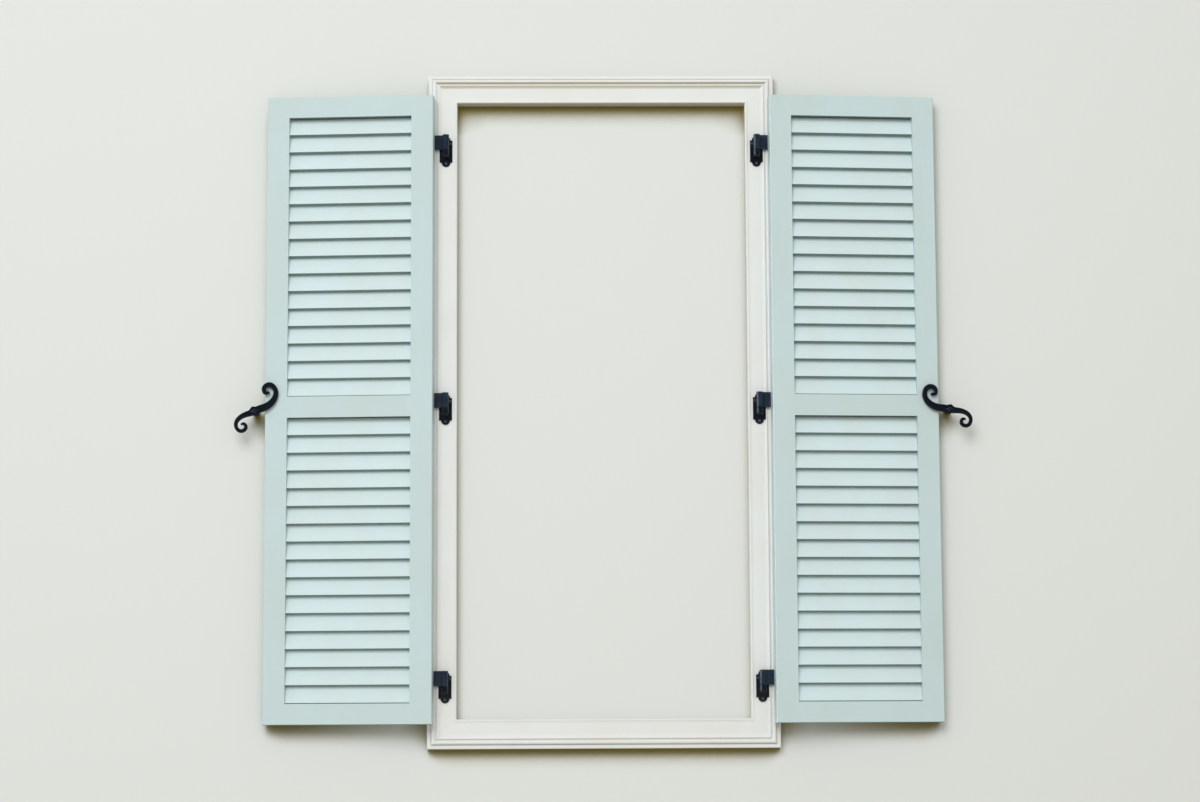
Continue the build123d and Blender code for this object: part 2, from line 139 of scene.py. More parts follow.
class ShutterDetail(bpy.types.PropertyGroup):
    """Sizes of the worked edges, screws and forged band"""
    band_round: length("Band rounding", "Radius of the long edges of the casing's outer band", 0.0024)
    louvre_round: length("Louvre rounding", "Radius of each louvre's long edges", 0.0014)
    plate_bevel: length("Plate bevel", "Bevel round the front of each pintle plate", 0.0006)
    boss_round: length("Boss rounding", "Radius of the round foot of each pintle's boss", 0.0055)
    screw_radius: length("Screw radius", "Radius of each screw's head", 0.0036)
    screw_height: length("Screw height", "Height of each screw's head", 0.0017)
    forge_voxel: length("Forging detail", "Size of the smallest detail of a dog's surface", 0.0008)


class StageLight(bpy.types.PropertyGroup):
    """Light, wall and floor of the stage"""
    sky: FloatProperty(name="Sky", description="Strength of the soft light of the sky", default=0.72,
                       min=0.0)
    key: FloatProperty(name="Key", description="Power of the soft box at the upper left", default=485.0,
                       min=0.0, subtype="POWER", unit="POWER")
    key_size: length("Key size", "Width of the soft box", 5.5)
    wall: colour("Wall", "Plain wall behind the shutters", (0.722, 0.740, 0.712))
    floor: colour("Floor", "Plain pale floor", (0.780, 0.770, 0.740))


class Wire:
    """A shader socket. Adding, taking away or multiplying adds a Math node."""

    def __init__(self, shader, socket):
        self.shader = shader
        self.socket = socket

    def maths(self, operation, *values):
        return self.shader.node("ShaderNodeMath", {"operation": operation}, dict(enumerate(values)))

    def __add__(self, other):
        return self.maths("ADD", self, other)

    def __radd__(self, other):
        return self.maths("ADD", other, self)

    def __sub__(self, other):
        return self.maths("SUBTRACT", self, other)

    def __rsub__(self, other):
        return self.maths("SUBTRACT", other, self)

    def __mul__(self, other):
        return self.maths("MULTIPLY", self, other)

    def __rmul__(self, other):
        return self.maths("MULTIPLY", other, self)


class Shader:
    """A material or world's node tree, with one way to add a node."""

    def __init__(self, block):
        block.use_nodes = True
        self.tree = block.node_tree
        self.tree.nodes.clear()

    def node(self, kind, settings=None, values=None, output=0):
        made = self.tree.nodes.new(kind)
        for name, value in (settings or {}).items():
            setattr(made, name, value)
        for name, value in (values or {}).items():
            socket = made.inputs[name]
            if isinstance(value, Wire):
                self.tree.links.new(value.socket, socket)
            else:
                socket.default_value = value
        return Wire(self, made.outputs[output])

    def mix(self, share, first, second):
        """Mixes two colours, each a wire or red, green and blue."""
        first, second = ((*c, 1) if isinstance(c, tuple) else c for c in (first, second))
        return self.node("ShaderNodeMix", {"data_type": "RGBA"}, {0: share, 6: first, 7: second}, output=2)

    def place(self, scale=(1, 1, 1)):
        """The surface's own place in metres, stretched."""
        here = self.node("ShaderNodeTexCoord", output="Object")
        return self.node("ShaderNodeMapping", None, {"Vector": here, "Scale": scale})

    def ray(self, kind):
        """Whether a ray is of a kind: Camera, Glossy or Transmission."""
        return self.node("ShaderNodeLightPath", output="Is " + kind + " Ray")

    def part(self, vector, axis):
        """One of a vector's three numbers."""
        return self.node("ShaderNodeSeparateXYZ", None, {"Vector": vector}, output=axis)

    def noise(self, where, scale, detail, roughness):
        return self.node("ShaderNodeTexNoise", None, {"Vector": where, "Scale": scale, "Detail": detail,
                                                      "Roughness": roughness})

    def span(self, value, low, high, to_low=0.0, to_high=1.0):
        """Maps a value smoothly between two limits."""
        return self.node("ShaderNodeMapRange", {"interpolation_type": "SMOOTHSTEP"},
                         {"Value": value, "From Min": low, "From Max": high, "To Min": to_low,
                          "To Max": to_high})

    def bump(self, height, distance, strength, normal=None):
        values = {"Height": height, "Distance": distance, "Strength": strength}
        if normal:
            values["Normal"] = normal
        return self.node("ShaderNodeBump", None, values)

    def end(self, surface, kind="ShaderNodeOutputMaterial"):
        """Links what has been made to the material's or the world's output."""
        out = self.tree.nodes.new(kind)
        self.tree.links.new(surface.socket, out.inputs["Surface"])


def paint(name, shade, looks, grain, seed, under, underside_shade_colour=PALE_UNDERSIDE_SHADE, lean=UNDERSIDE):
    """Brushed satin paint: faint brush marks along the grain, an uneven film, dusty specks, and painted
    shade in the hollows and on what faces down.
    """
    material = bpy.data.materials.new(name)
    shader = Shader(material)
    shade = tuple(shade)
    # Brush marks run along the grain, so the pattern is stretched that way
    stretch = tuple(5.0 if i == grain else 260.0 for i in range(3))
    marks = shader.noise(shader.place(stretch), 1.0 + seed * 0.03, 4.0, 0.6)
    film = shader.noise(shader.place(), 620.0, 2.0, 0.5)
    cloud = shader.noise(shader.place((1.0, 1.0, 0.6)), 5.0 + seed * 0.7, 3.0, 0.55)
    patches = shader.noise(shader.place(), 42.0 + seed, 3.0, 0.6)
    warm = tuple(c * f for c, f in zip(shade, (0.992, 0.980, 0.962)))
    cool = tuple(min(1.0, c * f) for c, f in zip(shade, (1.008, 1.014, 1.020)))
    base = shader.mix(shader.span(cloud, 0.35, 0.68), cool, warm)
    base = shader.mix(shader.span(marks, 0.45, 0.8) * 0.10, base, tuple(c * 0.86 for c in shade))
    # Painted shade darkens the hollows, with dusty specks besides
    hollow = 1.0 - shader.span(shader.node("ShaderNodeNewGeometry", output="Pointiness"), 0.40, 0.497)
    specks = shader.span(shader.noise(shader.place(), 850.0, 1.0, 0.4), 0.70, 0.78)
    dust_and_shade = (hollow * 0.8 + specks * 0.35) * shader.span(patches, 0.3, 0.75) * looks.dust_and_crease_shade
    base = shader.mix(dust_and_shade, base, DUST_AND_SHADE)
    # What faces the ground is painted darker, as shade
    normal = shader.node("ShaderNodeNewGeometry", output="Normal")
    down = shader.span(shader.part(normal, 2), *lean, 1.0, 0.0)
    base = shader.mix(down * under, base, underside_shade_colour)
    rough = looks.paint_gloss + (cloud - 0.5) * 0.10 + (marks - 0.5) * 0.08 + dust_and_shade * 0.3
    normal = shader.bump(film, 0.00008, 0.35)
    normal = shader.bump(marks, 0.00018, 0.45, normal)
    shader.end(shader.node("ShaderNodeBsdfPrincipled", None, {
        "Base Color": base, "Roughness": rough, "Specular IOR Level": 0.45, "Normal": normal}))
    return material


def black_iron(name, shade, wear, roughness, hammer):
    """Black painted iron: a hammered or cast skin with edges rubbed grey."""
    material = bpy.data.materials.new(name)
    shader = Shader(material)
    shade, wear = tuple(shade), tuple(wear)
    dents = shader.node("ShaderNodeTexVoronoi", {"feature": "SMOOTH_F1"},
                        {"Vector": shader.place(), "Scale": 150.0, "Smoothness": 0.7})
    grit = shader.noise(shader.place(), 1100.0, 3.0, 0.6)
    cloud = shader.noise(shader.place(), 60.0, 4.0, 0.6)
    edge = shader.span(shader.node("ShaderNodeNewGeometry", output="Pointiness"), 0.515, 0.60)
    rubbed = edge * shader.span(cloud, 0.40, 0.70)
    base = shader.mix(shader.span(cloud, 0.3, 0.75) * 0.55, shade, tuple(c * 1.9 for c in shade))
    base = shader.mix(rubbed * 0.75, base, wear)
    rough = roughness + (cloud - 0.5) * 0.22 + (grit - 0.5) * 0.10
    normal = shader.bump(grit, 0.00006, 0.4)
    normal = shader.bump(dents, 0.0009, hammer, normal)
    shader.end(shader.node("ShaderNodeBsdfPrincipled", None, {
        "Base Color": base, "Roughness": rough, "Metallic": 0.0, "Specular IOR Level": 0.30,
        "Normal": normal}))
    return material


def leaf_place(side, u, v, z):
    """A place on a leaf: along it from its hinge edge, through it from its front face, up from its foot."""
    along = Vector((cos(LEAF_TURN), side * sin(LEAF_TURN), 0))
    through = Vector((-side * sin(LEAF_TURN), cos(LEAF_TURN), 0))
    pin = Vector((side * PIN_X, -PIN_STANDOFF, LEAF_FOOT_Z))
    return pin + along * side * (EYE_TO_LEAF + u) + through * (v - EYE_DEPTH) + UP * z


def hinge_height(hinge):
    """Height of a strap's middle above the leaf's foot."""
    low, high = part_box("left_" + hinge + "_strap")
    return (low.z + high.z) / 2 - LEAF_FOOT_Z


def arc(centre, radius, start, end, steps):
    """Points on an arc, with the angles in radians."""
    turns = [start + (end - start) * i / steps for i in range(steps + 1)]
    return [(centre[0] + radius * cos(t), centre[1] + radius * sin(t)) for t in turns]


def clean_loop(points, least=1e-6):
    """Leaves out each point that falls on the one before it, round the loop."""
    kept = []
    for point in points:
        if not kept or hypot(point[0] - kept[-1][0], point[1] - kept[-1][1]) > least:
            kept.append(point)
    if hypot(kept[0][0] - kept[-1][0], kept[0][1] - kept[-1][1]) <= least:
        kept.pop()
    return kept


def prism(bm, outline, place, near, far, bevel=0.0, which="both"):
    """Extrudes a flat outline from near to far and bevels its rims.

    place turns (a, b, depth) to a point."""
    outline = clean_loop(outline)
    rings = [[bm.verts.new(place(a, b, depth)) for a, b in outline] for depth in (near, far)]
    faces = [bm.faces.new(rings[0]), bm.faces.new(list(reversed(rings[1])))]
    count = len(outline)
    for i in range(count):
        j = (i + 1) % count
        faces.append(bm.faces.new((rings[0][j], rings[0][i], rings[1][i], rings[1][j])))
    bmesh.ops.recalc_face_normals(bm, faces=faces)
    if bevel > 0:
        rims = [ring for ring, name in zip(faces[:2], ("near", "far")) if which in ("both", name)]
        edges = [edge for face in rims for edge in face.edges]
        bmesh.ops.bevel(bm, geom=edges, offset=bevel, segments=3, profile=0.5, affect="EDGES",
                        clamp_overlap=True)
    return faces


def lathe(bm, profile, place, steps=40):
    """Turns a profile of (radius, height) round an axis. place turns (a, b, height) to a point."""
    rings = []
    for radius, height in profile:
        if radius <= 1e-9:
            rings.append([bm.verts.new(place(0, 0, height))])
        else:
            turns = [2 * pi * i / steps for i in range(steps)]
            circle = [(radius * cos(t), radius * sin(t)) for t in turns]
            rings.append([bm.verts.new(place(a, b, height)) for a, b in circle])
    faces = []
    for low, high in zip(rings, rings[1:]):
        for i in range(steps):
            j = (i + 1) % steps
            corners = [low[i % len(low)], low[j % len(low)], high[j % len(high)], high[i % len(high)]]
            unique = list(dict.fromkeys(corners))
            if len(unique) > 2:
                faces.append(bm.faces.new(unique))
    for ring, flip in ((rings[0], True), (rings[-1], False)):
        if len(ring) > 1:
            faces.append(bm.faces.new(list(reversed(ring)) if flip else ring))
    bmesh.ops.recalc_face_normals(bm, faces=faces)
    return faces


def screw(bm, place, radius, height, turn):
    """A domed screw head with a cross recess. place turns (a, b, height) to a point."""
    arm, half = radius * 0.62, radius * 0.17
    steps = 48
    rings = []
    for share, rise, cross in ((1.0, -0.0004, 0), (1.0, 0.00025, 0), (0.93, height * 0.55, 0),
                               (0.80, height * 0.86, 0), (0.62, height, 0.35), (0.0, height, 1.0),
                               (0.0, height * 0.30, 0.86)):
        ring = []
        for i in range(steps):
            angle = 2 * pi * i / steps
            c, s = max(abs(cos(angle)), 1e-6), max(abs(sin(angle)), 1e-6)
            reach = max(min(half / s, arm / c), min(half / c, arm / s))
            r = radius * share if cross == 0 else (radius * share * (1 - cross) + reach * cross
                                                   if share else reach * cross)
            ring.append(bm.verts.new(place(r * cos(angle + turn), r * sin(angle + turn), rise)))
        rings.append(ring)
    faces = [bm.faces.new(list(reversed(rings[0]))), bm.faces.new(rings[-1])]
    for low, high in zip(rings, rings[1:]):
        for i in range(steps):
            j = (i + 1) % steps
            faces.append(bm.faces.new((low[i], low[j], high[j], high[i])))
    bmesh.ops.recalc_face_normals(bm, faces=faces)


def make_piece(name, bm, material, body, smooth=40.0, nodes=()):
    """Turns built geometry into a piece that rides on a body."""
    bmesh.ops.remove_doubles(bm, verts=bm.verts, dist=1e-7)
    mesh = bpy.data.meshes.new(name)
    bm.to_mesh(mesh)
    bm.free()
    mesh.materials.append(material)
    piece = bpy.data.objects.new(name, mesh)
    bpy.context.scene.collection.objects.link(piece)
    mesh.polygons.foreach_set("use_smooth", [True] * len(mesh.polygons))
    mesh.set_sharp_from_angle(angle=radians(smooth))
    if nodes:
        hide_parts(*nodes)
    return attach(piece, body)


def coat(node, material):
    """Gives a plain node its finish."""
    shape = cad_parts[node]
    for holder in shape.material_slots:
        holder.material = material
    if not shape.material_slots:
        shape.data.materials.append(material)


class SHUTTERS_OT_stage(bpy.types.Operator):
    """Makes the camera, the light, the plain wall and the floor"""
    bl_idname = "shutters.stage"
    bl_label = "Stage"

    def execute(self, context):
        settings = context.scene.stage_light
        self.make_camera(context)
        self.make_light(context, settings)
        self.make_wall(context, settings)
        context.scene.view_settings.view_transform = "Standard"
        return {"FINISHED"}

    def make_camera(self, context):
        """Stands where the photographer stood: low in front, looking a little up."""
        data = bpy.data.cameras.new("camera")
        data.sensor_width = SENSOR_WIDTH
        data.lens = FOCAL_PIXELS / FRAME_PIXELS * SENSOR_WIDTH
        data.clip_start, data.clip_end = 0.05, 100.0
        camera = bpy.data.objects.new("camera", data)
        context.scene.collection.objects.link(camera)
        pitch, turn, roll = CAMERA_PITCH, CAMERA_TURN, CAMERA_ROLL
        ahead = Vector((sin(turn) * cos(pitch), cos(turn) * cos(pitch), sin(pitch)))
        right = Vector((cos(turn), -sin(turn), 0))
        up = right.cross(ahead)
        across = right * cos(roll) + up * sin(roll)
        upward = up * cos(roll) - right * sin(roll)
        turned = Matrix((across, upward, -ahead)).transposed()
        camera.matrix_world = Matrix.Translation(CAMERA_PLACE) @ turned.to_4x4()
        context.scene.camera = camera

    def make_light(self, context, settings):
        """A soft sky, which shiny surfaces see as a dim room with one window, and a soft box."""
        world = bpy.data.worlds.new("sky")
        context.scene.world = world
        shader = Shader(world)
        seen = shader.ray("Camera") + shader.ray("Transmission")
        glossy = shader.ray("Glossy")
        facing = shader.node("ShaderNodeTexCoord", output="Generated")
        aside, depth, height = (shader.part(facing, axis) for axis in range(3))
        sky = shader.mix(shader.span(height, -0.26, 0.16), (0.130, 0.105, 0.055), (1.020, 1.000, 0.935))
        tint = shader.mix(seen, sky, (0.930, 0.930, 0.910))
        tint = shader.mix(glossy, tint, (0.700, 0.880, 1.150))
        # The sky is dimmer overhead and behind the wall
        level = settings.sky * (1.0 - shader.span(height, 0.35, 1.0, 0.0, 0.5))
        level = level * shader.span(depth, -0.1, 0.5, 1.0, 0.42)
        window = shader.span(aside, -0.97, -0.76, 11.0, 0.0) * shader.span(height, -0.35, 0.05)
        strength = level + seen * (1.0 - level) + glossy * (0.22 + window - level)
        shader.end(shader.node("ShaderNodeBackground", None, {"Color": tint, "Strength": strength}),
                   "ShaderNodeOutputWorld")
        box = bpy.data.lights.new("key", "AREA")
        box.shape = "DISK"
        box.size = settings.key_size
        box.energy = settings.key
        box.color = KEY_COLOUR
        lamp = bpy.data.objects.new("key", box)
        lamp.rotation_mode = "QUATERNION"
        lamp.rotation_quaternion = (KEY_AIM - KEY_PLACE).to_track_quat("-Z", "Y")
        lamp.location = KEY_PLACE
        lamp.visible_camera = False
        lamp.visible_glossy = False
        context.scene.collection.objects.link(lamp)

    def make_wall(self, context, settings):
        """The wall is seen from the front and takes shadows. From behind it isn't there."""
        side, front = STAGE_REACH, FLOOR_REACH
        wall = ((-side, 0, FLOOR_Z), (side, 0, FLOOR_Z), (side, 0, WALL_TOP), (-side, 0, WALL_TOP))
        floor = ((-side, -front, FLOOR_Z), (side, -front, FLOOR_Z), (side, front, FLOOR_Z),
                 (-side, front, FLOOR_Z))
        planes = (("wall", wall, self.wall_finish), ("floor", floor, self.floor_finish))
        for name, corners, finish in planes:
            mesh = bpy.data.meshes.new(name)
            mesh.from_pydata([Vector(c) - FRONT * STAGE_GAP for c in corners], [], [(0, 1, 2, 3)])
            mesh.materials.append(finish(name + "_matt", settings))
            plane = bpy.data.objects.new(name, mesh)
            context.scene.collection.objects.link(plane)

    def matt(self, shader, shade):
        """A plain matt surface."""
        return shader.node("ShaderNodeBsdfPrincipled", None, {
            "Base Color": shade, "Roughness": 1.0, "Specular IOR Level": 0.0})

    def floor_finish(self, name, settings):
        material = bpy.data.materials.new(name)
        shader = Shader(material)
        shader.end(self.matt(shader, (*settings.floor, 1)))
        return material

    def wall_finish(self, name, settings):
        material = bpy.data.materials.new(name)
        shader = Shader(material)
        # Light that reaches under a ledge comes off warm ground, so shadows there are olive
        above = shader.node("ShaderNodeCombineXYZ", None, {"X": 0.0, "Y": -0.45, "Z": 0.90})
        clear = shader.node("ShaderNodeAmbientOcclusion", {"samples": 24},
                            {"Distance": 0.075, "Normal": above}, output=1)
        shade = shader.mix(shader.span(clear, 0.40, 0.80), (0.21, 0.17, 0.05), tuple(settings.wall))
        behind = shader.node("ShaderNodeNewGeometry", output="Backfacing")
        met = (shader.ray("Camera") + shader.ray("Glossy") + shader.ray("Transmission")) * (1 - behind)
        shader.end(shader.node("ShaderNodeMixShader", None, {
            0: met, 1: shader.node("ShaderNodeBsdfTransparent"), 2: self.matt(shader, shade)}))
        return material


class SHUTTERS_OT_casing(bpy.types.Operator):
    """Paints the casing's four mitred lengths"""
    bl_idname = "shutters.casing"
    bl_label = "Casing"

    def execute(self, context):
        looks = context.scene.shutter_finish
        lengths = (("head", ACROSS), ("foot", ACROSS), ("left_jamb", UPWARD), ("right_jamb", UPWARD))
        for i, (length, grain) in enumerate(lengths):
            # The hollows under the head's mouldings take the most painted shade, as they face down away
            # from the light
            under, lean = (0.75, HOLLOW_SIDE) if length == "head" else (0.20, UNDERSIDE)
            node = "casing_" + length
            material = paint(node + "_paint", looks.casing_paint, looks, grain, i, under, lean=lean)
            coat(node, material)
            self.make_band(length, material, context.scene.shutter_detail)
        return {"FINISHED"}

    def make_band(self, length, material, detail):
        """A raised band on the length's fin, mitred at both ends."""
        low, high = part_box("casing_head")
        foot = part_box("casing_foot")[0].z
        corners = {"head": ((-1, 1), (1, 1)), "foot": ((1, -1), (-1, -1)),
                   "left_jamb": ((-1, -1), (-1, 1)), "right_jamb": ((1, 1), (1, -1))}[length]
        edge = detail.band_round
        near, far = BAND_EDGE, FIN_WIDTH - BAND_GAP
        section = ([(near, BAND_SEAT)] + arc((near + edge, BAND_HEIGHT - edge), edge, pi, pi / 2, 6)
                   + arc((far - edge, BAND_HEIGHT - edge), edge, pi / 2, 0, 6) + [(far, BAND_SEAT)])
        bm = bmesh.new()
        rings = []
        for side, end in corners:
            x, z = (high.x if side > 0 else low.x), (high.z if end > 0 else foot)
            rings.append([bm.verts.new((x - side * a, -h, z - end * a)) for a, h in section])
        count = len(section)
        faces = [bm.faces.new(rings[0]), bm.faces.new(list(reversed(rings[1])))]
        for i in range(count):
            j = (i + 1) % count
            faces.append(bm.faces.new((rings[0][i], rings[1][i], rings[1][j], rings[0][j])))
        bmesh.ops.recalc_face_normals(bm, faces=faces)
        make_piece("casing_" + length + "_band", bm, material, "casing", 35.0)


class SHUTTERS_OT_leaves(bpy.types.Operator):
    """Paints the stiles and rails of both leaves"""
    bl_idname = "shutters.leaves"
    bl_label = "Stiles and rails"

    def execute(self, context):
        looks = context.scene.shutter_finish
        stiles, rails = ("hinge_stile", "outer_stile"), ("top_rail", "middle_rail", "bottom_rail")
        for grain, parts in ((UPWARD, stiles), (ACROSS, rails)):
            for part in parts:
                # The undersides of the stiles and rails take dark painted shade
                material = paint(part + "_paint", looks.leaf_paint, looks, grain, 4, 0.85, DARK_UNDERSIDE_SHADE)
                for side_name in SIDES:
                    coat(side_name + "_" + part, material)
        return {"FINISHED"}


class SHUTTERS_OT_louvres(bpy.types.Operator):
    """Builds the fixed louvres with rounded edges, housed in the stiles"""
    bl_idname = "shutters.louvres"
    bl_label = "Louvres"

    def section(self, centre_z, radius):
        """Section of one louvre through the leaf and up, round at its corners and tilted."""
        half_a, half_b = SLAT_SIZE[0] / 2, SLAT_SIZE[1] / 2
        points = []
        for sign_a, sign_b, start in ((1, 1, 0), (-1, 1, pi / 2), (-1, -1, pi), (1, -1, 3 * pi / 2)):
            corner = (sign_a * (half_a - radius), sign_b * (half_b - radius))
            points += arc(corner, radius, start, start + pi / 2, 5)
        turned = [(a * cos(SLAT_TILT) + b * sin(SLAT_TILT), -a * sin(SLAT_TILT) + b * cos(SLAT_TILT))
                  for a, b in points]
        return [(LEAF_THICKNESS / 2 + a, centre_z + b) for a, b in turned]

    def cut_level(self, points, low):
        """Cuts a section level where it sits on its rail."""
        kept = []
        for (a, b), (c, d) in zip(points, points[1:] + points[:1]):
            if b >= low:
                kept.append((a, b))
            if (b - low) * (d - low) < 0:
                share = (low - b) / (d - b)
                kept.append((a + (c - a) * share, low))
        return kept

    def execute(self, context):
        looks, detail = context.scene.shutter_finish, context.scene.shutter_detail
        # The louvres take the paint lightened as painted light, and dark painted shade on their undersides
        material = paint("louvre_paint", looks.louvre_paint, looks, ACROSS, 9, 0.82, DARK_UNDERSIDE_SHADE)
        half_height = SLAT_SIZE[1] / 2 * cos(SLAT_TILT) + SLAT_SIZE[0] / 2 * sin(SLAT_TILT)
        rise = OPENING_HEIGHT - SLAT_HEAD_GAP - half_height - SLAT_LOWEST
        panels = {"lower": END_RAIL, "upper": END_RAIL + OPENING_HEIGHT + MIDDLE_RAIL}
        start = STILE_WIDTH - SLAT_HOUSING
        end = LEAF_WIDTH - STILE_WIDTH + SLAT_HOUSING
        for side_name, side in SIDES.items():
            for panel, foot in panels.items():
                bm = bmesh.new()
                for i in range(SLAT_COUNT):
                    centre = foot + SLAT_LOWEST + rise * i / (SLAT_COUNT - 1)
                    outline = self.cut_level(self.section(centre, detail.louvre_round), foot)
                    prism(bm, outline, lambda v, z, u: leaf_place(side, u, v, z), start, end)
                name = side_name + "_" + panel
                make_piece(name + "_slats", bm, material, side_name + "_leaf", 50.0,
                           [name + "_louvres"])
        return {"FINISHED"}


class SHUTTERS_OT_pintles(bpy.types.Operator):
    """Builds the pintles: lobed plates, round-footed bosses and domed pins, with their screws"""
    bl_idname = "shutters.pintles"
    bl_label = "Pintles"

    def plate(self):
        """Outline of a plate: straight sides, with a round lobe above and below."""
        half_w, half_h = PLATE_SIZE[0] / 2, PLATE_SIZE[1] / 2
        return ([(half_w, -half_h), (half_w, half_h)] + arc((0, half_h), PLATE_LOBE, 0, pi, 24)
                + [(-half_w, half_h), (-half_w, -half_h)] + arc((0, -half_h), PLATE_LOBE, pi, 2 * pi, 24))

    def execute(self, context):
        looks, detail = context.scene.shutter_finish, context.scene.shutter_detail
        iron = black_iron("pintle_iron", looks.iron, looks.iron_wear, looks.iron_gloss, 0.06)
        steel = black_iron("screw_iron", tuple(c * 1.8 for c in looks.iron_wear),
                           tuple(c * 4 for c in looks.iron_wear), looks.iron_gloss * 0.8, 0.0)
        for side_name, side in SIDES.items():
            for hinge in HINGES:
                strap_z = LEAF_FOOT_Z + hinge_height(hinge)
                self.make_pintle(side_name, side, hinge, strap_z, iron, detail)
                self.make_screws(side_name, side, hinge, strap_z, steel, detail)
        return {"FINISHED"}

    def make_pintle(self, side_name, side, hinge, strap_z, iron, detail):
        """A plate, the web that carries the boss, and the boss with its pin in one turned shape."""
        x = side * PIN_X
        plate_z = strap_z - PLATE_DROP
        boss_top = strap_z - STRAP_HEIGHT / 2 - EYE_REST_GAP
        bm = bmesh.new()
        prism(bm, self.plate(), lambda a, b, d: Vector((x + a, -FLAT_HEIGHT - d, plate_z + b)), 0.0,
              STRAP_THICKNESS, detail.plate_bevel, "far")
        # The web starts and ends just inside the boss, so that no faces lie in one plane
        half, low, high = WEB_WIDTH / 2, -0.0185, -0.0003
        web = [(-half, low), (half, low), (half, high), (-half, high)]
        prism(bm, web, lambda a, b, d: Vector((x + a, -FLAT_HEIGHT - d, boss_top + b)), 0.002,
              PIN_STANDOFF - FLAT_HEIGHT)
        foot = detail.boss_round
        profile = [(0, -BOSS_HEIGHT)]
        profile += [(EYE_RADIUS - foot + a, -BOSS_HEIGHT + foot + b)
                    for a, b in arc((0, 0), foot, -pi / 2, 0, 8)]
        profile += [(EYE_RADIUS, -0.0008), (EYE_RADIUS - 0.0002, -0.0002), (EYE_RADIUS - 0.0008, 0.0),
                    (PIN_RADIUS, 0.0)]
        top = STRAP_HEIGHT - 0.0007
        profile += [(PIN_RADIUS, top - 0.0012), (0.0044, top - 0.0006), (0.0036, top - 0.0002), (0, top)]
        lathe(bm, profile, lambda a, b, h: Vector((x + a, -PIN_STANDOFF + b, boss_top + h)))
        name = side_name + "_" + hinge
        make_piece(name + "_pintle_iron", bm, iron, "casing", 35.0, [name + "_pintle"])

    def make_screws(self, side_name, side, hinge, strap_z, steel, detail):
        """One screw in each lobe, and two beside the boss where the strap leaves them in sight."""
        x = side * PIN_X
        plate_z = strap_z - PLATE_DROP
        lobe = PLATE_SIZE[1] / 2 + PLATE_LOBE / 4
        bm = bmesh.new()
        for i, (a, b) in enumerate(((0, -lobe), (0, lobe), (-0.0106, 0.0195), (0.0106, 0.0195))):
            turn = 0.5 + 1.1 * i + 0.7 * HINGES.index(hinge) + side

            def place(p, q, h, a=a, b=b):
                return Vector((x + a + p, -FLAT_HEIGHT - STRAP_THICKNESS - h, plate_z + b + q))
            screw(bm, place, detail.screw_radius, detail.screw_height, turn)
        make_piece(side_name + "_" + hinge + "_plate_screws", bm, steel, "casing", 35.0)


class SHUTTERS_OT_straps(bpy.types.Operator):
    """Builds the hinge straps, each rolled at its end into an eye, with their screws"""
    bl_idname = "shutters.straps"
    bl_label = "Straps"

    def outline(self):
        """Section of a strap and its eye, along the leaf and through it. The roll ends in a fine seam."""
        eye = (-EYE_TO_LEAF, EYE_DEPTH)
        back = LEAF_THICKNESS + STRAP_THICKNESS
        seam = radians(33.0)
        outer = arc(eye, EYE_RADIUS, pi / 2, 2 * pi + seam, 44)
        inner = arc(eye, EYE_BORE, 2 * pi + seam - radians(4), pi / 2, 40)
        return [(STRAP_REACH, back)] + outer + inner + [(STRAP_REACH, LEAF_THICKNESS)]

    def execute(self, context):
        looks, detail = context.scene.shutter_finish, context.scene.shutter_detail
        iron = black_iron("strap_iron", tuple(c * 5.0 for c in looks.iron), looks.iron_wear,
                          looks.iron_gloss, 0.05)
        steel = bpy.data.materials["screw_iron"]
        for side_name, side in SIDES.items():
            for hinge in HINGES:
                middle = hinge_height(hinge)
                bm = bmesh.new()
                prism(bm, self.outline(), lambda u, v, z: leaf_place(side, u, v, middle + z),
                      -STRAP_HEIGHT / 2, STRAP_HEIGHT / 2, 0.0004)
                name = side_name + "_" + hinge + "_strap"
                make_piece(name + "_iron", bm, iron, side_name + "_leaf", 30.0, [name])
                bm = bmesh.new()
                for i, u in enumerate((0.018, 0.038)):
                    def place(p, q, h, u=u):
                        through = LEAF_THICKNESS + STRAP_THICKNESS + h * 0.6
                        return leaf_place(side, u + p, through, middle + q)
                    screw(bm, place, detail.screw_radius, detail.screw_height, 0.4 + i)
                make_piece(name + "_screws", bm, steel, side_name + "_leaf", 35.0)
        return {"FINISHED"}


